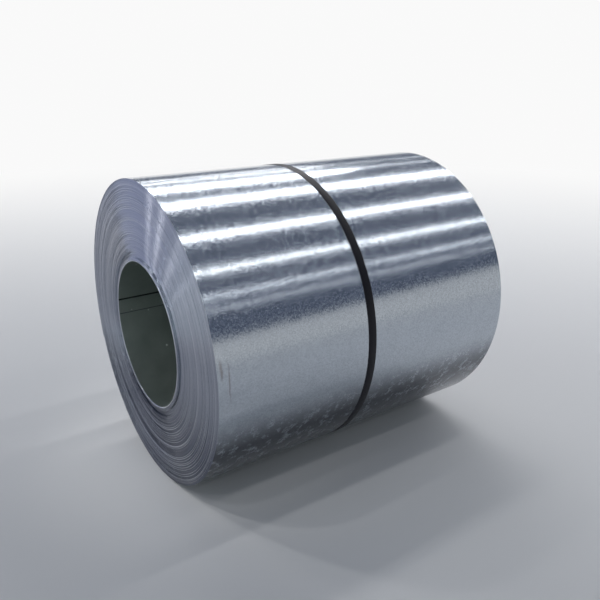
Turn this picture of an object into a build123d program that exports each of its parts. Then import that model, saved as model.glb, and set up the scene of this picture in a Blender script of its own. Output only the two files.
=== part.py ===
from build123d import *

from math import acos, degrees, sin
import os

# Driving dimensions in millimetres: the wound strip
bore_d = 508.0
outer_d = 1060.0
strip_width = 1200.0
strip_thickness = 1.5

# The two cut ends of the strip, as angles about the coil's axis, 0 at +X and 90 at +Z
lead_angle = 168.0
lead_lap = 60.0
tail_angle = 200.0
tail_lap = 50.0

# How the turns stand at the ends: a proud lip, slack turns drawn in, then wandering bands
lip_turns = 9
lip_out = 3.0
slack_turns = 12
slack_in = 6.0
band_turns = 16
band_wander = 1.6
band_phase = 2.3

# The steel strap round the middle, and its crimped seal
strap_width = 32.0
strap_thickness = 0.9
strap_offset = -36.0
strap_tip = 25.0
seal_angle = 132.0
seal_length = 57.0
seal_thickness = 0.9
seal_flange = 10.0
fit_gap = 0.1
side_gap = 0.5
notch_radius = 4.0
notch_pitch = 26.0

bore_r = bore_d / 2
outer_r = outer_d / 2

# The coil lies on its side: its axis is Y, and it is drawn in section looking along +Y
section = Plane.XZ

os.makedirs("parts", exist_ok=True)


def at(radius, angle):
    """A point of the section, by its radius and its angle about the coil's axis."""
    return Vector(radius, 0).rotate(Axis.Z, angle)


# Coil: bands of turns, each as wide as the strip and shifted a little along the axis


def band_edges():
    """The inner radius, outer radius and shift towards -Y of each band of turns."""
    lip_edge = bore_r + lip_turns * strip_thickness
    slack_edge = lip_edge + slack_turns * strip_thickness
    bands = [(bore_r, lip_edge, lip_out), (lip_edge, slack_edge, -slack_in)]
    edge = slack_edge
    while edge < outer_r:
        next_edge = min(edge + band_turns * strip_thickness, outer_r)
        bands.append((edge, next_edge, band_wander * sin(band_phase * len(bands))))
        edge = next_edge
    return bands


def cut_lap(radius, step, angle, sweep):
    """Cut the crescent beside an end of the strip, one thickness deep at the end itself."""
    with BuildSketch(section) as lap:
        with BuildLine():
            rim = CenterArc((0, 0), radius, angle, sweep)
            back = TangentArc(rim @ 1, at(radius + step, angle), tangent=-(rim % 1))
            Line(back @ 1, rim @ 0)
        make_face()
    extrude(lap.sketch, amount=strip_width, both=True, mode=Mode.SUBTRACT)


with BuildPart() as coil:
    with BuildSketch(Plane.XY):
        for inner, outer, shift in band_edges():
            with Locations((inner, -shift)):
                Rectangle(outer - inner, strip_width, align=(Align.MIN, Align.CENTER))
    revolve(axis=Axis.Y)
    cut_lap(outer_r, -strip_thickness, tail_angle, tail_lap)
    cut_lap(bore_r, strip_thickness, lead_angle, -lead_lap)
coil.part.label = "coil"
export_step(coil.part, "parts/coil.step")

# Strap: one strip of steel whose ends overlap inside the seal and stick out past it
lower_r = outer_r + seal_thickness + fit_gap
upper_r = lower_r + strap_thickness + fit_gap
seal_half = degrees(seal_length / 2 / outer_r)
tip_sweep = degrees(strap_tip / outer_r)
lower_tip = seal_angle + seal_half + tip_sweep
lower_rise = seal_angle - seal_half
upper_rise = lower_tip + degrees(fit_gap / outer_r)
upper_tip = seal_angle - seal_half - tip_sweep


def strap_face(raised):
    """One face of the strap, from its lower tip the long way round to its upper tip."""
    around, lower, upper = outer_r + raised, lower_r + raised, upper_r + raised
    lower_foot = lower_rise - degrees(acos(around / lower))
    upper_foot = upper_rise + degrees(acos(around / upper))
    CenterArc((0, 0), lower, lower_tip, lower_rise - lower_tip)
    Line(at(lower, lower_rise), at(around, lower_foot))
    CenterArc((0, 0), around, lower_foot, upper_foot - 360 - lower_foot)
    Line(at(around, upper_foot), at(upper, upper_rise))
    CenterArc((0, 0), upper, upper_rise, upper_tip - upper_rise)


seal_plane = Plane(
    origin=section.from_local_coords(at(outer_r, seal_angle)) + Vector(0, strap_offset, 0),
    x_dir=(0, 1, 0),
    z_dir=section.from_local_coords(at(1, seal_angle)),
)


def cut_notches():
    """The two pairs of crimp notches, bitten through the edges of the seal and the strap."""
    with BuildSketch(seal_plane) as notches:
        with GridLocations(strap_width, notch_pitch, 2, 2):
            Circle(notch_radius)
    extrude(notches.sketch, amount=strap_width, both=True, mode=Mode.SUBTRACT)


with BuildPart() as strap:
    with BuildSketch(section.offset(-strap_offset)):
        with BuildLine():
            strap_face(0)
            strap_face(strap_thickness)
            Line(at(lower_r, lower_tip), at(lower_r + strap_thickness, lower_tip))
            Line(at(upper_r, upper_tip), at(upper_r + strap_thickness, upper_tip))
        make_face()
    extrude(amount=strap_width / 2, both=True)
    cut_notches()
strap.part.label = "strap"
export_step(strap.part, "parts/strap.step")

# Seal: a sleeve folded round both layers of the strap, with its flanges turned in beneath
sleeve_width = strap_width + 2 * side_gap
sleeve_top = upper_r + strap_thickness + fit_gap
seal_sweep = 2 * seal_half

with BuildPart() as strap_seal:
    with BuildSketch(Plane.XY.rotated((0, -(seal_angle - seal_half), 0))):
        with Locations((outer_r, strap_offset)):
            Rectangle(
                sleeve_top + seal_thickness - outer_r,
                sleeve_width + 2 * seal_thickness,
                align=(Align.MIN, Align.CENTER),
            )
        with Locations((outer_r + seal_thickness, strap_offset)):
            Rectangle(
                sleeve_top - outer_r - seal_thickness,
                sleeve_width,
                align=(Align.MIN, Align.CENTER),
                mode=Mode.SUBTRACT,
            )
        with Locations((outer_r, strap_offset)):
            Rectangle(
                seal_thickness,
                sleeve_width - 2 * seal_flange,
                align=(Align.MIN, Align.CENTER),
                mode=Mode.SUBTRACT,
            )
    revolve(axis=Axis.Y, revolution_arc=-seal_sweep)
    cut_notches()
strap_seal.part.label = "strap_seal"
export_step(strap_seal.part, "parts/strap_seal.step")
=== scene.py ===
import math

import bpy
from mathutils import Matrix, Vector, noise


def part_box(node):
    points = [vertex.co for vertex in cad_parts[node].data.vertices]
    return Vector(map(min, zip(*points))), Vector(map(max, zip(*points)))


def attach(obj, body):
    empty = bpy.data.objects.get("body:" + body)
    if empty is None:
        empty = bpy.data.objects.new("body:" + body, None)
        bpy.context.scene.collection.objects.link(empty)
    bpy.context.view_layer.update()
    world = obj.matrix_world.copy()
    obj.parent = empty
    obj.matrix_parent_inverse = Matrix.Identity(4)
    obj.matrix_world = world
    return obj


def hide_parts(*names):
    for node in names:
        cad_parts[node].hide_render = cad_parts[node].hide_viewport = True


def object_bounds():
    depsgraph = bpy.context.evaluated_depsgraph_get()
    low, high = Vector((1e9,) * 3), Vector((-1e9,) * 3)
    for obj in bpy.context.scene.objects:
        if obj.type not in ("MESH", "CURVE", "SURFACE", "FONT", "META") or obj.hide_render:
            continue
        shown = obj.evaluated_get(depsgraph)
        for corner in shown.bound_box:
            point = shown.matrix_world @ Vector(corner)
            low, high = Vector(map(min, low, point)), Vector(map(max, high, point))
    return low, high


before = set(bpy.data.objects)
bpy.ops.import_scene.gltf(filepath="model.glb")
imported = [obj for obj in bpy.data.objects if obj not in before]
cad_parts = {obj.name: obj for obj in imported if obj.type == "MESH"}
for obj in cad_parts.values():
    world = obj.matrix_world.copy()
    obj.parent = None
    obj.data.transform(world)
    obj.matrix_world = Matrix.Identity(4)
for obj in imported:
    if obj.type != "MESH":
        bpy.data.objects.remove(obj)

cad_low, cad_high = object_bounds()

# Coil: one galvanised strip, skin-passed and oiled, wound in a spiral on a 508 mm mandrel and
# taken off it. Nothing but its own strap holds it, so a few turns at the bore have slipped out
# and the edges of the rest wander a little, and each turn's slit edge shows on both ends.
bore_radius = 0.254
outer_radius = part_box("coil")[1].x
strip_width = 1.19999
strip_thickness = 0.0015
air_gap = 0.00003
lead_angle = math.radians(168)
tail_angle = math.radians(200)
stations_per_turn = 128

# How far the turns' edges stand towards -Y: a lip at the bore, slack turns drawn in behind it,
# then a slow wander, small steps where the strip shifted as it was wound, and a finer jitter
lip_turns = 9
lip_out = 0.0030
slack_turns = 12
slack_in = 0.0058
wander_turns = 26
wander_reach = 0.0016
step_turns = 5.5
step_ease = 0.4
step_reach = 0.0010
jitter_turns = 1.4
jitter_reach = 0.0005


def smooth_step(value):
    """Ease from 0 to 1 as the value goes from 0 to 1."""
    value = min(max(value, 0.0), 1.0)
    return value * value * (3 - 2 * value)


def winding_step(turn):
    """The sudden part of the edges' shift, which is steady for some turns and then jumps."""
    place = turn / step_turns
    last = math.floor(place)
    before, after = noise.cell((last - 0.5, 0, 0)), noise.cell((last + 0.5, 0, 0))
    return step_reach * (before + (after - before) * smooth_step((place - last) / step_ease))


def edge_shift(turn):
    """How far towards -Y the strip's edges stand after that many turns."""
    past_lip = smooth_step((turn - lip_turns + 1) / 1.5)
    past_slack = smooth_step((turn - lip_turns - slack_turns) / 4)
    jitter = jitter_reach * noise.noise((turn / jitter_turns, 0, 0))
    wander = wander_reach * noise.noise((turn / wander_turns, 5, 0)) + winding_step(turn)
    slack = -slack_in * past_lip * (1 - past_slack)
    shift = lip_out * (1 - past_lip) + slack + wander * past_slack + jitter
    return min(max(shift, -slack_in), lip_out)


def make_mesh(name, data):
    """Turn curve data into one selected, active mesh object of that name."""
    bpy.ops.object.select_all(action="DESELECT")
    piece = bpy.data.objects.new(name, data)
    bpy.context.collection.objects.link(piece)
    piece.select_set(True)
    bpy.context.view_layer.objects.active = piece
    bpy.ops.object.convert(target="MESH")
    return bpy.context.object


def apply_modifier(piece, name, kind, **settings):
    """Add one modifier with its settings, and apply it at once."""
    modifier = piece.modifiers.new(name, kind)
    for setting, value in settings.items():
        setattr(modifier, setting, value)
    bpy.ops.object.modifier_apply(modifier=modifier.name)


def lay_down(piece):
    """Lay a piece that was drawn round the Z axis round the Y axis instead."""
    piece.rotation_euler = (math.radians(90), 0, 0)
    bpy.ops.object.transform_apply(location=True, rotation=True, scale=True)


def make_strip(name, points, width, thickness):
    """A strip of that width on edge along a row of points, its thickness to the outside."""
    path = bpy.data.curves.new(name, "CURVE")
    path.dimensions = "3D"
    path.twist_mode = "Z_UP"
    path.extrude = width / 2
    spline = path.splines.new("POLY")
    spline.points.add(len(points) - 1)
    for station, place in zip(spline.points, points):
        station.co = (*place, 1)
    strip = make_mesh(name, path)
    apply_modifier(strip, "wall", "SOLIDIFY", thickness=thickness, offset=-1)
    return strip


turns = round((outer_radius - bore_radius) / strip_thickness) - 1
turns += (tail_angle - lead_angle) / math.tau
turn_pitch = (outer_radius - bore_radius) / (turns + 1)
station_count = round(turns * stations_per_turn)
strip_points = []
for station in range(station_count + 1):
    turn = turns * station / station_count
    angle = lead_angle + turn * math.tau
    radius = bore_radius + turn * turn_pitch
    strip_points.append((radius * math.cos(angle), radius * math.sin(angle), edge_shift(turn)))
coil = make_strip("coil_strip", strip_points, strip_width, turn_pitch - air_gap)
lay_down(coil)
bpy.ops.object.shade_smooth_by_angle(angle=math.radians(30))


def linear(hex_colour):
    """An sRGB hex colour as a linear RGBA value."""
    parts = [int(hex_colour[i:i + 2], 16) / 255 for i in (0, 2, 4)]
    parts = [c / 12.92 if c <= 0.04045 else ((c + 0.055) / 1.055) ** 2.4 for c in parts]
    return (*parts, 1.0)


def add_node(tree, kind, settings, links):
    """Add one node, set its sockets and properties, and link earlier nodes' sockets to it."""
    node = tree.nodes.new(kind)
    for name, value in settings.items():
        if isinstance(name, int) or name in node.inputs:
            node.inputs[name].default_value = value
        else:
            setattr(node, name, value)
    for name, source in links.items():
        tree.links.new(source, node.inputs[name])
    return node


def new_material(name):
    """An empty node material, with its output node and its Object coordinates."""
    material = bpy.data.materials.new(name)
    material.use_nodes = True
    tree = material.node_tree
    tree.nodes.clear()
    output = tree.nodes.new("ShaderNodeOutputMaterial")
    place = tree.nodes.new("ShaderNodeTexCoord").outputs["Object"]
    return material, tree, output.inputs["Surface"], place


def set_ramp(ramp, *stops):
    """Give a colour ramp its stops, each a position and an sRGB hex colour."""
    while len(ramp.color_ramp.elements) < len(stops):
        ramp.color_ramp.elements.new(0.5)
    for element, (position, colour) in zip(ramp.color_ramp.elements, stops):
        element.position = position
        element.color = linear(colour)


def line_along(tree, place, angle, half_width, strength):
    """A mask with one line along the coil, at that angle about its axis, on its -X side."""
    across = (math.sin(angle), 0, -math.cos(angle))
    off = add_node(tree, "ShaderNodeVectorMath", {"operation": "DOT_PRODUCT", 1: across},
                   {0: place})
    off = add_node(tree, "ShaderNodeMath", {"operation": "ABSOLUTE"}, {0: off.outputs["Value"]})
    line = add_node(tree, "ShaderNodeMapRange",
                    {"From Min": half_width, "From Max": half_width / 2, "To Max": strength},
                    {"Value": off.outputs["Value"]})
    split = add_node(tree, "ShaderNodeSeparateXYZ", {}, {"Vector": place})
    same_side = add_node(tree, "ShaderNodeMath", {"operation": "LESS_THAN", 1: 0.0},
                         {0: split.outputs["X"]})
    return add_node(tree, "ShaderNodeMath", {"operation": "MULTIPLY"},
                    {0: line.outputs["Result"], 1: same_side.outputs["Value"]})


# Skin-passed zinc: hot-dip galvanised steel rolled lightly between textured rolls. It mirrors the
# room softly, and its spangle, crystals drawn 4 mm across so that they show, gives the mirrored
# lamps a grain, with slack in the wrap that makes their edges wave. Oil has run from between the
# turns at the near end and lies against the strip's outer end, where the dark line is also
# painted shadow of the strip's step. The underside is painted darker as painted shade, and grime
# smudges it lighter and duller in patches.
def skin_passed_zinc():
    spangle_size = 0.004
    spangle_lean = 0.026
    frost_size = 0.008
    cloud_size = 0.060
    slack_size = 0.22
    slack_depth = 0.00025
    roll_line_size = 0.004
    roll_line_gloss = 0.02
    smudge_size = 0.035
    smudge_gloss = 0.16
    low_part_top = -0.08
    smudge_full = -0.22
    painted_shade_full = -0.24
    painted_shade_share = 0.88
    oil_strength = 0.45
    oil_waves = 38.0
    oil_sway = 0.014
    tail_oil_and_shadow_half = 0.0022
    tail_oil_and_shadow_strength = 0.8

    # Each run of oil: its place along the coil, its half width, and the heights of its ends
    oil_runs = ((-0.555, 0.0040, 0.115, -0.06), (-0.579, 0.0080, 0.110, 0.03))

    material, tree, surface, place = new_material("skin_passed_zinc")
    spangle = add_node(tree, "ShaderNodeTexVoronoi", {"Scale": 1 / spangle_size},
                       {"Vector": place})
    crystal = add_node(tree, "ShaderNodeSeparateColor", {}, {"Color": spangle.outputs["Color"]})
    frost = add_node(tree, "ShaderNodeTexNoise", {"Scale": 1 / frost_size, "Detail": 2.0},
                     {"Vector": place})
    frosted = add_node(tree, "ShaderNodeMapRange", {"From Min": 0.3, "From Max": 0.7},
                       {"Value": frost.outputs["Fac"]})
    grain = add_node(tree, "ShaderNodeMix", {"data_type": "FLOAT", 0: 0.3},
                     {2: crystal.outputs["Green"], 3: frosted.outputs["Result"]})
    grain = add_node(tree, "ShaderNodeMath", {"operation": "POWER", 1: 1.4},
                     {0: grain.outputs[0]})
    gloss = add_node(tree, "ShaderNodeMapRange",
                     {"From Min": 0.0, "From Max": 1.0, "To Min": 0.10, "To Max": 0.25},
                     {"Value": grain.outputs["Value"]})

    # Fine lines round the barrel, the way the strip ran through the rolls
    across = add_node(tree, "ShaderNodeSeparateXYZ", {}, {"Vector": place})
    roll_lines = add_node(tree, "ShaderNodeTexNoise",
                          {"noise_dimensions": "1D", "Scale": 1 / roll_line_size, "Detail": 3.0},
                          {"W": across.outputs["Y"]})
    gloss = add_node(tree, "ShaderNodeMath", {"operation": "MULTIPLY_ADD", 1: roll_line_gloss},
                     {0: roll_lines.outputs["Fac"], 2: gloss.outputs["Result"]})

    # Painted shade on the underside, lighter and duller in patches where grime smudges it
    low = add_node(tree, "ShaderNodeMapRange",
                   {"interpolation_type": "SMOOTHSTEP", "From Min": low_part_top,
                    "From Max": smudge_full}, {"Value": across.outputs["Z"]})
    smudge = add_node(tree, "ShaderNodeTexNoise",
                      {"Scale": 1 / smudge_size, "Detail": 5.0, "Roughness": 0.65},
                      {"Vector": place})
    smudge = add_node(tree, "ShaderNodeMapRange",
                      {"interpolation_type": "SMOOTHSTEP", "From Min": 0.48, "From Max": 0.66},
                      {"Value": smudge.outputs["Fac"]})
    # painted shade: the colour darkens towards the underside, less where grime smudges it
    painted_shade_mask = add_node(tree, "ShaderNodeMapRange",
                     {"interpolation_type": "SMOOTHSTEP", "From Min": low_part_top,
                      "From Max": painted_shade_full, "To Max": painted_shade_share},
                     {"Value": across.outputs["Z"]})
    wiped = add_node(tree, "ShaderNodeMapRange", {"To Min": 1.0, "To Max": 0.50},
                     {"Value": smudge.outputs["Result"]})
    painted_shade = add_node(tree, "ShaderNodeMath", {"operation": "MULTIPLY"},
                     {0: painted_shade_mask.outputs["Result"], 1: wiped.outputs["Result"]})
    smudged = add_node(tree, "ShaderNodeMath", {"operation": "MULTIPLY"},
                       {0: low.outputs["Result"], 1: smudge.outputs["Result"]})
    gloss = add_node(tree, "ShaderNodeMath", {"operation": "MULTIPLY_ADD", 1: smudge_gloss},
                     {0: smudged.outputs["Value"], 2: gloss.outputs["Value"]})

    # Oil: runs that sway a little on the near end's right side; and a dark line against the tail,
    # oil there and painted shadow of the tail's step
    wobble = add_node(tree, "ShaderNodeTexNoise", {"Scale": oil_waves, "Detail": 3.0},
                      {"Vector": place})
    bent = add_node(tree, "ShaderNodeMath", {"operation": "MULTIPLY_ADD", 1: oil_sway},
                    {0: wobble.outputs["Fac"], 2: across.outputs["Y"]})
    stained = None
    for run_place, run_half, run_top, run_foot in oil_runs:
        off = add_node(tree, "ShaderNodeMath", {"operation": "SUBTRACT", 1: run_place},
                       {0: bent.outputs["Value"]})
        off = add_node(tree, "ShaderNodeMath", {"operation": "ABSOLUTE"},
                       {0: off.outputs["Value"]})
        line = add_node(tree, "ShaderNodeMapRange",
                        {"interpolation_type": "SMOOTHSTEP", "From Min": run_half,
                         "From Max": 0.0}, {"Value": off.outputs["Value"]})
        height = (run_top + run_foot) / 2
        reach = add_node(tree, "ShaderNodeMath", {"operation": "SUBTRACT", 1: height},
                         {0: across.outputs["Z"]})
        reach = add_node(tree, "ShaderNodeMath", {"operation": "ABSOLUTE"},
                         {0: reach.outputs["Value"]})
        ends = add_node(tree, "ShaderNodeMapRange",
                        {"interpolation_type": "SMOOTHSTEP",
                         "From Min": (run_top - run_foot) / 2, "From Max": 0.01},
                        {"Value": reach.outputs["Value"]})
        run = add_node(tree, "ShaderNodeMath", {"operation": "MULTIPLY"},
                       {0: line.outputs["Result"], 1: ends.outputs["Result"]})
        if stained:
            run = add_node(tree, "ShaderNodeMath", {"operation": "ADD", "use_clamp": True},
                           {0: run.outputs["Value"], 1: stained.outputs["Value"]})
        stained = run
    near_side = add_node(tree, "ShaderNodeMath", {"operation": "GREATER_THAN", 1: 0.0},
                         {0: across.outputs["X"]})
    stained = add_node(tree, "ShaderNodeMath", {"operation": "MULTIPLY"},
                       {0: stained.outputs["Value"], 1: near_side.outputs["Value"]})
    stained = add_node(tree, "ShaderNodeMath", {"operation": "MULTIPLY", 1: oil_strength},
                       {0: stained.outputs["Value"]})
    # painted shadow of the tail's step, with oil there: a dark line along the outer end
    tail_oil_and_shadow = line_along(tree, place, tail_angle + tail_oil_and_shadow_half / outer_radius, tail_oil_and_shadow_half,
                          tail_oil_and_shadow_strength)

    # Colour: zinc, then the painted shade on the underside, patchy where grime smudges it, and the
    # oil over it, with painted shadow at the tail
    cloud = add_node(tree, "ShaderNodeTexNoise",
                     {"Scale": 1 / cloud_size, "Detail": 3.0, "Roughness": 0.6},
                     {"Vector": place})
    bright = add_node(tree, "ShaderNodeMix", {"data_type": "FLOAT", 0: 0.35},
                      {2: crystal.outputs["Green"], 3: cloud.outputs["Fac"]})
    tint = add_node(tree, "ShaderNodeValToRGB", {}, {"Fac": bright.outputs[0]})
    set_ramp(tint, (0.15, "b9c0c8"), (0.85, "cfd6de"))
    # painted shade: a dark grey mixed in over the underside
    tint = add_node(tree, "ShaderNodeMix", {"data_type": "RGBA", 7: linear("484a50")},
                    {0: painted_shade.outputs["Value"], 6: tint.outputs["Color"]})
    tint = add_node(tree, "ShaderNodeMix", {"data_type": "RGBA", 7: linear("6b4f38")},
                    {0: stained.outputs["Value"], 6: tint.outputs[2]})
    # the tail's dark line: oil and painted shadow of the step
    tint = add_node(tree, "ShaderNodeMix", {"data_type": "RGBA", 7: linear("2a2c30")},
                    {0: tail_oil_and_shadow.outputs["Value"], 6: tint.outputs[2]})

    # Slack in the wrap, and the lean of each crystal
    slack = add_node(tree, "ShaderNodeTexNoise", {"Scale": 1 / slack_size, "Detail": 1.0},
                     {"Vector": place})
    waves = add_node(tree, "ShaderNodeBump", {"Strength": 1.0, "Distance": slack_depth},
                     {"Height": slack.outputs["Fac"]})
    tilt = add_node(tree, "ShaderNodeVectorMath", {"operation": "SUBTRACT", 1: (0.5, 0.5, 0.5)},
                    {0: spangle.outputs["Color"]})
    lean = add_node(tree, "ShaderNodeVectorMath",
                    {"operation": "SCALE", "Scale": spangle_lean}, {0: tilt.outputs["Vector"]})
    facet = add_node(tree, "ShaderNodeVectorMath", {"operation": "ADD"},
                     {0: waves.outputs["Normal"], 1: lean.outputs["Vector"]})
    normal = add_node(tree, "ShaderNodeVectorMath", {"operation": "NORMALIZE"},
                      {0: facet.outputs["Vector"]})
    zinc = add_node(tree, "ShaderNodeBsdfPrincipled", {"Metallic": 1.0},
                    {"Base Color": tint.outputs[2], "Roughness": gloss.outputs["Value"],
                     "Normal": normal.outputs["Vector"]})
    tree.links.new(zinc.outputs["BSDF"], surface)
    return material


# Slit edges: the strip's sheared edges, stacked turn on turn into a face that is grooved like a
# record, so lights draw out into streaks that run away from the bore. Each edge rolls over to its
# outside by about 27 degrees, so the face looks up above the bore and down below it. Turns that
# stand proud lean the other way, and they and the bore's lip are painted lighter, a painted
# highlight where they catch the light. The lower part is painted darker as painted shade.
def slit_edges():
    lean_range = (0.49, 0.53)
    proud_scale = 0.55
    proud_lean = -0.5
    low_part_top = -0.02
    painted_shade_full = -0.34
    painted_shade_share = 0.86

    # The bore's lip is round, so its inner side leans to the bore and its crest outwards, and the
    # outermost turn's edge is bent over: each has the radii where its lean starts and is full
    crest_radii, crest_lean = (bore_radius + 0.0070, bore_radius + 0.0060), 0.9
    lip_radii, lip_lean = (bore_radius + 0.0045, bore_radius + 0.0035), -0.8
    rim_radii, rim_lean = (outer_radius - 0.0022, outer_radius - 0.0012), 0.9
    material, tree, surface, place = new_material("slit_edges")
    outward = add_node(tree, "ShaderNodeVectorMath", {"operation": "MULTIPLY", 1: (1, 0, 1)},
                       {0: place})
    radius = add_node(tree, "ShaderNodeVectorMath", {"operation": "LENGTH"},
                      {0: outward.outputs["Vector"]})
    turn = add_node(tree, "ShaderNodeMath",
                    {"operation": "MULTIPLY", 1: 1 / strip_thickness},
                    {0: radius.outputs["Value"]})
    tone = add_node(tree, "ShaderNodeTexNoise",
                    {"noise_dimensions": "1D", "Scale": 0.7, "Detail": 4.0, "Roughness": 0.75},
                    {"W": turn.outputs["Value"]})
    tint = add_node(tree, "ShaderNodeValToRGB", {}, {"Fac": tone.outputs["Fac"]})
    set_ramp(tint, (0.30, "a6a9b5"), (0.75, "c5c8d2"))
    height = add_node(tree, "ShaderNodeSeparateXYZ", {}, {"Vector": place})
    # painted shade: the face is painted darker towards its bottom
    painted_shade_mask = add_node(tree, "ShaderNodeMapRange",
                     {"interpolation_type": "SMOOTHSTEP", "From Min": low_part_top,
                      "From Max": painted_shade_full, "To Max": painted_shade_share},
                     {"Value": height.outputs["Z"]})
    painted_shade = add_node(tree, "ShaderNodeMix", {"data_type": "RGBA", 7: linear("3a4258")},
                     {0: painted_shade_mask.outputs["Result"], 6: tint.outputs["Color"]})
    grooves = add_node(tree, "ShaderNodeTangent", {"direction_type": "RADIAL", "axis": "Y"}, {})
    spoke = add_node(tree, "ShaderNodeVectorMath", {"operation": "NORMALIZE"},
                     {0: outward.outputs["Vector"]})
    uneven = add_node(tree, "ShaderNodeMapRange",
                      {"From Min": 0.3, "From Max": 0.7, "To Min": lean_range[0],
                       "To Max": lean_range[1]},
                      {"Value": tone.outputs["Fac"]})
    proud = add_node(tree, "ShaderNodeTexNoise",
                     {"noise_dimensions": "1D", "Scale": proud_scale, "Detail": 1.0},
                     {"W": turn.outputs["Value"]})
    proud = add_node(tree, "ShaderNodeMapRange", {"From Min": 0.62, "From Max": 0.70},
                     {"Value": proud.outputs["Fac"]})
    crest = add_node(tree, "ShaderNodeMapRange",
                     {"From Min": crest_radii[0], "From Max": crest_radii[1]},
                     {"Value": radius.outputs["Value"]})
    lip = add_node(tree, "ShaderNodeMapRange",
                   {"From Min": lip_radii[0], "From Max": lip_radii[1]},
                   {"Value": radius.outputs["Value"]})
    rim = add_node(tree, "ShaderNodeMapRange",
                   {"From Min": rim_radii[0], "From Max": rim_radii[1]},
                   {"Value": radius.outputs["Value"]})
    # painted highlight: the bore's lip and the proud turns are painted lighter where they catch
    # the light
    painted_highlight = add_node(tree, "ShaderNodeMath", {"operation": "MAXIMUM"},
                      {0: proud.outputs["Result"], 1: lip.outputs["Result"]})
    bright = add_node(tree, "ShaderNodeMix", {"data_type": "RGBA", 7: linear("dfe2e8")},
                      {0: painted_highlight.outputs["Value"], 6: painted_shade.outputs[2]})
    roll = add_node(tree, "ShaderNodeMix", {"data_type": "FLOAT", 3: proud_lean},
                    {0: proud.outputs["Result"], 2: uneven.outputs["Result"]})
    for ring, ring_lean in ((crest, crest_lean), (lip, lip_lean), (rim, rim_lean)):
        roll = add_node(tree, "ShaderNodeMix", {"data_type": "FLOAT", 3: ring_lean},
                        {0: ring.outputs["Result"], 2: roll.outputs[0]})
    roll_over = add_node(tree, "ShaderNodeVectorMath", {"operation": "SCALE"},
                         {0: spoke.outputs["Vector"], "Scale": roll.outputs[0]})
    facing = tree.nodes.new("ShaderNodeNewGeometry").outputs["Normal"]
    lean = add_node(tree, "ShaderNodeVectorMath", {"operation": "ADD"},
                    {0: facing, 1: roll_over.outputs["Vector"]})
    normal = add_node(tree, "ShaderNodeVectorMath", {"operation": "NORMALIZE"},
                      {0: lean.outputs["Vector"]})
    edge = add_node(tree, "ShaderNodeBsdfPrincipled",
                    {"Metallic": 1.0, "Roughness": 0.28, "Anisotropic": 1.0,
                     "Anisotropic Rotation": 0.25},
                    {"Base Color": bright.outputs[2], "Tangent": grooves.outputs["Tangent"],
                     "Normal": normal.outputs["Vector"]})
    tree.links.new(edge.outputs["BSDF"], surface)
    return material


# Oiled first turn: the same zinc inside the bore, painted darker and greener than the barrel,
# partly as rolling oil and the mandrel's rubbing and partly as painted shade, with a painted
# shadow line where the strip starts, painted shade along the line where it first creased, and
# specks of dross, drawn 5 mm across so that they show.
def oiled_and_shaded_bore():
    film_size = 0.11
    speck_spacing = 0.05
    speck_radius = 0.0026

    # Each line of painted shade: its angle, its half width and its colour
    painted_shade_lines = ((lead_angle, 0.0035, "262b2a"),
                  (lead_angle + math.radians(13), 0.0020, "6a726e"))
    material, tree, surface, place = new_material("oiled_and_shaded_bore")
    film = add_node(tree, "ShaderNodeTexNoise", {"Scale": 1 / film_size, "Detail": 5.0},
                    {"Vector": place})
    tint = add_node(tree, "ShaderNodeValToRGB", {}, {"Fac": film.outputs["Fac"]})
    # painted shade: the bore's zinc is painted darker and greener than the barrel's, partly an oil
    # tone
    set_ramp(tint, (0.30, "97a19c"), (0.75, "b1bab5"))
    shade = tint.outputs["Color"]
    # painted shadow under the lead's step, and painted shade along the crease
    for line_angle, half_width, line_colour in painted_shade_lines:
        line = line_along(tree, place, line_angle, half_width, 1.0)
        painted_shade_mix = add_node(tree, "ShaderNodeMix", {"data_type": "RGBA", 7: linear(line_colour)},
                        {0: line.outputs["Value"], 6: shade})
        shade = painted_shade_mix.outputs[2]
    dross = add_node(tree, "ShaderNodeTexVoronoi", {"Scale": 1 / speck_spacing},
                     {"Vector": place})
    pick = add_node(tree, "ShaderNodeSeparateColor", {}, {"Color": dross.outputs["Color"]})
    few = add_node(tree, "ShaderNodeMath", {"operation": "GREATER_THAN", 1: 0.6},
                   {0: pick.outputs["Red"]})
    speck = add_node(tree, "ShaderNodeMath",
                     {"operation": "LESS_THAN", 1: speck_radius / speck_spacing},
                     {0: dross.outputs["Distance"]})
    speck = add_node(tree, "ShaderNodeMath", {"operation": "MULTIPLY"},
                     {0: speck.outputs["Value"], 1: few.outputs["Value"]})
    colour = add_node(tree, "ShaderNodeMix", {"data_type": "RGBA", 7: linear("e4e8e4")},
                      {0: speck.outputs["Value"], 6: shade})
    coat = add_node(tree, "ShaderNodeMapRange", {"To Min": 0.9, "To Max": 0.0},
                    {"Value": speck.outputs["Value"]})
    oil = add_node(tree, "ShaderNodeBsdfPrincipled", {"Roughness": 0.38},
                   {"Base Color": colour.outputs[2], "Metallic": coat.outputs["Result"]})
    tree.links.new(oil.outputs["BSDF"], surface)
    return material


for finish in (skin_passed_zinc(), slit_edges(), oiled_and_shaded_bore()):
    coil.data.materials.append(finish)
for face in coil.data.polygons:
    if abs(face.normal.y) > 0.7:
        face.material_index = 1
    elif math.hypot(face.center.x, face.center.z) < bore_radius + 1.01 * turn_pitch:
        face.material_index = 2
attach(coil, "root")
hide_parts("coil")

# Strap: steel strapping, 32 mm wide, black painted and waxed, drawn tight round the barrel by a
# tensioner. It bridges the step at the strip's tail, and its ends overlap in the seal.
strap_width = 0.032
strap_thickness = 0.0009
strap_place = -0.036
strap_tip = 0.025
seal_angle = math.radians(132)
seal_length = 0.057
seal_thickness = 0.0009
fit_gap = 0.0001
strap_step = math.radians(1)
rolled_edge = 0.00025

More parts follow.
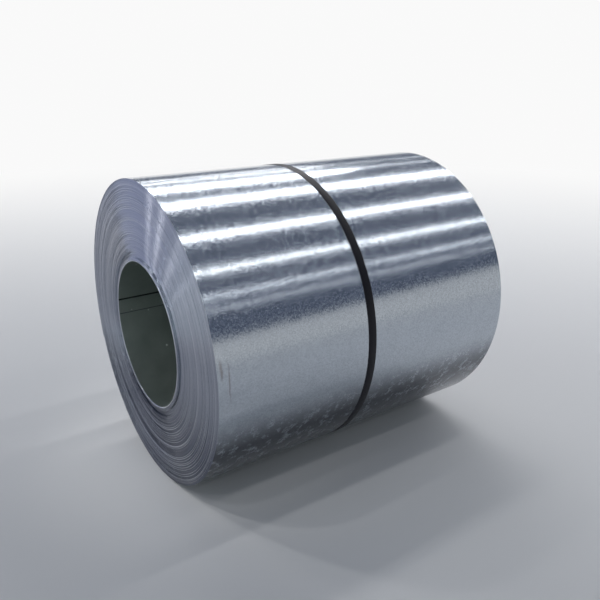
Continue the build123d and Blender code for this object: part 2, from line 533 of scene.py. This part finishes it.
seal_half = seal_length / 2 / outer_radius
lower_tip = seal_angle + seal_half + strap_tip / outer_radius
lower_rise = seal_angle - seal_half
upper_rise = lower_tip + fit_gap / outer_radius
upper_tip = seal_angle - seal_half - strap_tip / outer_radius
lower_lift = seal_thickness + fit_gap
upper_lift = lower_lift + strap_thickness + fit_gap


def barrel_radius(angle):
    """The outermost turn's radius, which grows by one turn from the tail round to the tail."""
    return outer_radius - turn_pitch * (1 - (angle - tail_angle) / math.tau % 1)


def bridged(angle, corner, corner_radius, way):
    """The radius of a taut run that leaves a raised corner, way +1 or -1, and meets the barrel."""
    base = barrel_radius(angle)
    span = math.acos(min(base / corner_radius, 1))
    gone = (angle - corner) * way
    return base / math.cos(span - gone) if 0 <= gone <= span else base


def strap_radius(angle):
    """The radius of the strap's inner face, from its lower tip clockwise to its upper tip."""
    if angle >= lower_rise:
        return barrel_radius(angle) + lower_lift
    if angle <= upper_rise - math.tau:
        return barrel_radius(angle) + upper_lift
    return max(
        bridged(angle, lower_rise, barrel_radius(lower_rise) + lower_lift, -1),
        bridged(angle, upper_rise - math.tau, barrel_radius(upper_rise) + upper_lift, 1),
        bridged(angle, tail_angle - math.tau, outer_radius, 1),
    )


strap_points = []
strap_sweep = lower_tip - upper_tip + math.tau
strap_stations = round(strap_sweep / strap_step)
for station in range(strap_stations + 1):
    angle = upper_tip - math.tau + strap_sweep * station / strap_stations
    radius = strap_radius(angle)
    strap_points.append((radius * math.cos(angle), radius * math.sin(angle), -strap_place))
strap = make_strip("strap_band", strap_points, strap_width, strap_thickness)
lay_down(strap)
apply_modifier(strap, "rolled_edges", "BEVEL", width=rolled_edge, segments=2,
               limit_method="ANGLE", angle_limit=math.radians(40))
bpy.ops.object.shade_smooth_by_angle(angle=math.radians(30))


# Strap paint: black stoving paint under a film of wax, so it shines a little where a lamp meets
# it. It is scuffed along the strap, and worn to the steel here and there on its two edges. The
# seal's paint is thinner and greyer, and worn in patches by the crimping tool.
def waxed_black_paint(name, dark, light, worn_share):
    scuff_width = 0.0015
    chip_size = 0.006
    worn_edge = 0.0016
    edge_wear = 0.55
    material, tree, surface, place = new_material(name)
    across = add_node(tree, "ShaderNodeSeparateXYZ", {}, {"Vector": place})
    scuffs = add_node(tree, "ShaderNodeTexNoise",
                      {"noise_dimensions": "1D", "Scale": 1 / scuff_width, "Detail": 3.0},
                      {"W": across.outputs["Y"]})
    chips = add_node(tree, "ShaderNodeTexNoise",
                     {"Scale": 1 / chip_size, "Detail": 4.0, "Roughness": 0.6},
                     {"Vector": place})
    tint = add_node(tree, "ShaderNodeValToRGB", {}, {"Fac": scuffs.outputs["Fac"]})
    set_ramp(tint, (0.35, dark), (0.70, light))
    gloss = add_node(tree, "ShaderNodeMapRange",
                     {"From Min": 0.3, "From Max": 0.7, "To Min": 0.30, "To Max": 0.46},
                     {"Value": chips.outputs["Fac"]})
    off = add_node(tree, "ShaderNodeMath", {"operation": "SUBTRACT", 1: strap_place},
                   {0: across.outputs["Y"]})
    off = add_node(tree, "ShaderNodeMath", {"operation": "ABSOLUTE"}, {0: off.outputs["Value"]})
    edge = add_node(tree, "ShaderNodeMapRange",
                    {"From Min": strap_width / 2 - worn_edge, "From Max": strap_width / 2},
                    {"Value": off.outputs["Value"]})
    worn = add_node(tree, "ShaderNodeMath", {"operation": "MULTIPLY_ADD", 1: edge_wear},
                    {0: edge.outputs["Result"], 2: chips.outputs["Fac"]})
    worn = add_node(tree, "ShaderNodeMapRange",
                    {"From Min": 1.0 - worn_share, "From Max": 1.08 - worn_share},
                    {"Value": worn.outputs["Value"]})
    tint = add_node(tree, "ShaderNodeMix", {"data_type": "RGBA", 7: linear("6d6e76")},
                    {0: worn.outputs["Result"], 6: tint.outputs["Color"]})
    paint = add_node(tree, "ShaderNodeBsdfPrincipled", {"Specular IOR Level": 0.22},
                     {"Base Color": tint.outputs[2], "Metallic": worn.outputs["Result"],
                      "Roughness": gloss.outputs["Result"]})
    tree.links.new(paint.outputs["BSDF"], surface)
    return material


strap_paint = waxed_black_paint("black_strap_paint", "0d0d13", "1c1b24", 0.06)
strap.data.materials.append(strap_paint)
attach(strap, "root")
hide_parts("strap")

# Seal: a sleeve of sheet steel folded round both layers of the strap, its flanges turned in
# beneath them, and crimped by a tool that bites two pairs of notches through its edges.
side_gap = 0.0005
seal_flange = 0.010
fold_radius = 0.0006
fold_steps = 4
notch_radius = 0.004
notch_pitch = 0.026
punch_length = 0.03

seal_base = barrel_radius(seal_angle)
sleeve_half = strap_width / 2 + side_gap + seal_thickness
sleeve_rise = 2 * (strap_thickness + fit_gap) + fit_gap + 2 * seal_thickness
fold_points = []
for side in (-1, 1):
    flange = [(seal_base + seal_thickness / 2, side * (sleeve_half - seal_flange))]
    for height, turn_from in ((0, -90), (sleeve_rise, 0)):
        inset = fold_radius + seal_thickness / 2
        centre_height = seal_base + (inset if height == 0 else height - inset)
        for step in range(fold_steps + 1):
            turn = math.radians(turn_from + 90 * step / fold_steps)
            flange.append((centre_height + fold_radius * math.sin(turn),
                           side * (sleeve_half - inset + fold_radius * math.cos(turn))))
    fold_points += flange if side < 0 else flange[::-1]

bpy.ops.object.select_all(action="DESELECT")
profile = bpy.data.curves.new("strap_seal_sleeve", "CURVE")
profile.dimensions = "3D"
spline = profile.splines.new("POLY")
spline.points.add(len(fold_points) - 1)
for station, (radius, along) in zip(spline.points, fold_points):
    start = seal_angle - seal_half
    station.co = (radius * math.cos(start), strap_place + along, radius * math.sin(start), 1)
seal = make_mesh("strap_seal_sleeve", profile)
bpy.ops.object.mode_set(mode="EDIT")
bpy.ops.mesh.select_all(action="SELECT")
bpy.ops.mesh.spin(steps=10, angle=2 * seal_half, center=(0, 0, 0), axis=(0, 1, 0))
bpy.ops.mesh.select_all(action="SELECT")
bpy.ops.mesh.normals_make_consistent(inside=False)
bpy.ops.object.mode_set(mode="OBJECT")
apply_modifier(seal, "sheet", "SOLIDIFY", thickness=seal_thickness, offset=0)


def cut_notches(piece):
    """Bite the two pairs of crimp notches through a piece's edges."""
    for along in (-notch_pitch / 2, notch_pitch / 2):
        angle = seal_angle + along / outer_radius
        for side in (-1, 1):
            bpy.ops.object.select_all(action="DESELECT")
            bpy.ops.mesh.primitive_cylinder_add(
                vertices=20, radius=notch_radius, depth=punch_length,
                location=(outer_radius * math.cos(angle), strap_place + side * strap_width / 2,
                          outer_radius * math.sin(angle)),
                rotation=(0, math.pi / 2 - angle, 0))
            punch = bpy.context.object
            bpy.ops.object.select_all(action="DESELECT")
            piece.select_set(True)
            bpy.context.view_layer.objects.active = piece
            apply_modifier(piece, "notch", "BOOLEAN", operation="DIFFERENCE", solver="EXACT",
                           object=punch)
            bpy.data.objects.remove(punch)


cut_notches(seal)
cut_notches(strap)
for piece in (seal, strap):
    bpy.context.view_layer.objects.active = piece
    piece.select_set(True)
bpy.ops.object.shade_smooth_by_angle(angle=math.radians(30))
seal.data.materials.clear()
seal.data.materials.append(waxed_black_paint("black_seal_paint", "2a2b32", "484950", 0.44))
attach(seal, "root")
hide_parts("strap_seal")

# Floor: a plain pale floor that the coil lies on. Far off it fades into the studio's walls, as the
# camera and the polished steel see them: a white backdrop behind the coil, and grey to its sides.
floor_height = cad_low.z
floor_reach = 200
fade_start = 1.0
fade_end = 8.0
backdrop_foot = (1.94, -1.30, 0)
backdrop_way = (-0.822, 0.569, 0)
backdrop_spread = (0.78, 0.90)
side_spread = (-0.8, 0.0)
back_white = (0.95, 0.95, 0.95, 1)
left_grey = (0.40, 0.44, 0.58, 1)
right_grey = (0.54, 0.55, 0.56, 1)
bpy.ops.object.select_all(action="DESELECT")
bpy.ops.mesh.primitive_circle_add(vertices=96, radius=floor_reach, fill_type="NGON",
                                  location=(0, 0, floor_height))
floor = bpy.context.object
floor.name = "floor"
floor_paint, tree, surface, place = new_material("pale_floor")
matt = add_node(tree, "ShaderNodeBsdfPrincipled",
                {"Base Color": linear("d8d8d8"), "Roughness": 0.9}, {})
distance = add_node(tree, "ShaderNodeVectorMath", {"operation": "LENGTH"}, {0: place})
way = add_node(tree, "ShaderNodeVectorMath", {"operation": "SUBTRACT", 1: backdrop_foot},
               {0: place})
way = add_node(tree, "ShaderNodeVectorMath", {"operation": "NORMALIZE"},
               {0: way.outputs["Vector"]})
behind = add_node(tree, "ShaderNodeVectorMath", {"operation": "DOT_PRODUCT", 1: backdrop_way},
                  {0: way.outputs["Vector"]})
backdrop = add_node(tree, "ShaderNodeMapRange",
                    {"interpolation_type": "SMOOTHSTEP", "From Min": backdrop_spread[0],
                     "From Max": backdrop_spread[1]}, {"Value": behind.outputs["Value"]})
aside = add_node(tree, "ShaderNodeSeparateXYZ", {}, {"Vector": way.outputs["Vector"]})
aside = add_node(tree, "ShaderNodeMapRange",
                 {"interpolation_type": "SMOOTHSTEP", "From Min": side_spread[0],
                  "From Max": side_spread[1]}, {"Value": aside.outputs["X"]})
horizon = add_node(tree, "ShaderNodeMix", {"data_type": "RGBA", 6: left_grey, 7: right_grey},
                   {0: aside.outputs["Result"]})
horizon = add_node(tree, "ShaderNodeMix", {"data_type": "RGBA", 7: back_white},
                   {0: backdrop.outputs["Result"], 6: horizon.outputs[2]})
white = add_node(tree, "ShaderNodeEmission", {}, {"Color": horizon.outputs[2]})
fade = add_node(tree, "ShaderNodeMapRange",
                {"interpolation_type": "SMOOTHSTEP", "From Min": fade_start,
                 "From Max": fade_end}, {"Value": distance.outputs["Value"]})
ray = tree.nodes.new("ShaderNodeLightPath").outputs
seen = add_node(tree, "ShaderNodeMath", {"operation": "ADD"},
                {0: ray["Is Camera Ray"], 1: ray["Is Glossy Ray"]})
seen = add_node(tree, "ShaderNodeMath", {"operation": "ADD"},
                {0: seen.outputs["Value"], 1: ray["Is Transmission Ray"]})
share = add_node(tree, "ShaderNodeMath", {"operation": "MULTIPLY", "use_clamp": True},
                 {0: seen.outputs["Value"], 1: fade.outputs["Result"]})
blend = add_node(tree, "ShaderNodeMixShader", {},
                 {"Fac": share.outputs["Value"], 1: matt.outputs["BSDF"],
                  2: white.outputs["Emission"]})
tree.links.new(blend.outputs["Shader"], surface)
floor.data.materials.append(floor_paint)

# World: the studio's walls and ceiling. The walls meet the floor's far edge in its own colours,
# the ceiling is a dim blue grey, and in front of the coil's near end pale walls reach high up,
# blue grey on the left and almost white on the right.
wall_top = (0.095, 0.160)
tall_wall_top = (0.35, 0.65)
tall_wall_front = (-0.25, 0.25)
left_wall = (0.40, 0.44, 0.60, 1)
right_wall = (0.80, 0.90, 0.92, 1)
ceiling = (0.10, 0.12, 0.17, 1)
world = bpy.data.worlds.new("studio")
bpy.context.scene.world = world
world.use_nodes = True
tree = world.node_tree
tree.nodes.clear()
direction = tree.nodes.new("ShaderNodeTexCoord").outputs["Generated"]
across = add_node(tree, "ShaderNodeSeparateXYZ", {}, {"Vector": direction})
front = add_node(tree, "ShaderNodeMapRange",
                 {"interpolation_type": "SMOOTHSTEP", "From Min": tall_wall_front[1],
                  "From Max": tall_wall_front[0]}, {"Value": across.outputs["Y"]})
low = add_node(tree, "ShaderNodeMapRange",
               {"interpolation_type": "SMOOTHSTEP", "From Min": tall_wall_top[1],
                "From Max": tall_wall_top[0]}, {"Value": across.outputs["Z"]})
wall = add_node(tree, "ShaderNodeMath", {"operation": "MULTIPLY"},
                {0: front.outputs["Result"], 1: low.outputs["Result"]})
side = add_node(tree, "ShaderNodeMapRange",
                {"interpolation_type": "SMOOTHSTEP", "From Min": side_spread[0],
                 "From Max": side_spread[1]}, {"Value": across.outputs["X"]})
wall_colour = add_node(tree, "ShaderNodeMix",
                       {"data_type": "RGBA", 6: left_wall, 7: right_wall},
                       {0: side.outputs["Result"]})
overhead = add_node(tree, "ShaderNodeMix", {"data_type": "RGBA", 6: ceiling},
                    {0: wall.outputs["Value"], 7: wall_colour.outputs[2]})
above = add_node(tree, "ShaderNodeMapRange",
                 {"interpolation_type": "SMOOTHSTEP", "From Min": wall_top[0],
                  "From Max": wall_top[1]}, {"Value": across.outputs["Z"]})
behind = add_node(tree, "ShaderNodeVectorMath", {"operation": "DOT_PRODUCT", 1: backdrop_way},
                  {0: direction})
backdrop = add_node(tree, "ShaderNodeMapRange",
                    {"interpolation_type": "SMOOTHSTEP", "From Min": backdrop_spread[0],
                     "From Max": backdrop_spread[1]}, {"Value": behind.outputs["Value"]})
horizon = add_node(tree, "ShaderNodeMix", {"data_type": "RGBA", 6: left_grey, 7: right_grey},
                   {0: side.outputs["Result"]})
horizon = add_node(tree, "ShaderNodeMix", {"data_type": "RGBA", 7: back_white},
                   {0: backdrop.outputs["Result"], 6: horizon.outputs[2]})
sky = add_node(tree, "ShaderNodeMix", {"data_type": "RGBA"},
               {0: above.outputs["Result"], 6: horizon.outputs[2], 7: overhead.outputs[2]})
glow = add_node(tree, "ShaderNodeBackground", {"Strength": 1.0}, {"Color": sky.outputs[2]})
output = tree.nodes.new("ShaderNodeOutputWorld")
tree.links.new(glow.outputs["Background"], output.inputs["Surface"])

# Lamps: long strip softboxes hung side by side above the coil, in line with its axis, each with
# its place across the coil, its width, its near and far ends and its radiance.
strip_lamp_height = 5.0
strip_lamps = (
    (-11.30, 0.50, -0.5, 8.5, 8.0),
    (-9.10, 0.16, 7.0, 11.5, 8.0),
    (-8.35, 0.50, -0.5, 7.0, 7.0),
    (-5.35, 0.12, 5.5, 8.5, 9.0),
    (-5.00, 0.85, -0.5, 5.5, 11.0),
    (-2.10, 0.50, -0.5, 13.0, 8.0),
    (0.80, 0.24, -0.5, 13.0, 8.0),
    (3.45, 0.20, -0.5, 13.0, 7.0),
    (6.40, 0.15, -0.5, 13.0, 6.5),
    (9.05, 0.14, -0.5, 13.0, 5.5),
)
for place_x, width, near_end, far_end, radiance in strip_lamps:
    length = far_end - near_end
    lamp_data = bpy.data.lights.new("strip_lamp", "AREA")
    lamp_data.shape = "RECTANGLE"
    lamp_data.size = width
    lamp_data.size_y = length
    lamp_data.energy = radiance * math.pi * width * length
    lamp = bpy.data.objects.new("strip_lamp", lamp_data)
    lamp.location = (place_x, near_end + length / 2, strip_lamp_height)
    bpy.context.collection.objects.link(lamp)

# Spot lamps: small ones hung in front of the near end and aimed at it, which draw streaks across
# its slit edges, each with its place across the coil and its radiance.
spot_lamp_distance = 4.0
spot_lamp_radius = 0.20
spot_lamp_cone = math.radians(10.5)
spot_lamp_blend = 0.3
spot_lamps = ((-6.10, 85.0), (-3.45, 125.0), (-0.60, 125.0), (1.90, 90.0), (3.60, 90.0))
for place_x, radiance in spot_lamps:
    lamp_data = bpy.data.lights.new("spot_lamp", "SPOT")
    lamp_data.shadow_soft_size = spot_lamp_radius
    lamp_data.spot_size = spot_lamp_cone
    lamp_data.spot_blend = spot_lamp_blend
    lamp_data.energy = radiance * (2 * math.pi * spot_lamp_radius) ** 2
    lamp = bpy.data.objects.new("spot_lamp", lamp_data)
    lamp.location = (place_x, -spot_lamp_distance, strip_lamp_height)
    aim = Vector((0, -strip_width / 2, 0)) - lamp.location
    lamp.rotation_euler = aim.to_track_quat("-Z", "Y").to_euler()
    bpy.context.collection.objects.link(lamp)

# Camera: stands where the photograph's did, looking down on the near end and the barrel.
view_point = (1.9448, -1.3035, 0.8535)
view_azimuth = math.radians(55.32)
view_elevation = math.radians(19.98)
camera_data = bpy.data.cameras.new("camera")
camera_data.lens = 37.95
camera_data.sensor_width = 36.0
camera = bpy.data.objects.new("camera", camera_data)
camera.location = view_point
forward = Vector((-math.sin(view_azimuth) * math.cos(view_elevation),
                  math.cos(view_azimuth) * math.cos(view_elevation),
                  -math.sin(view_elevation)))
camera.rotation_euler = forward.to_track_quat("-Z", "Y").to_euler()
bpy.context.collection.objects.link(camera)
bpy.context.scene.camera = camera
bpy.context.scene.view_settings.view_transform = "Standard"
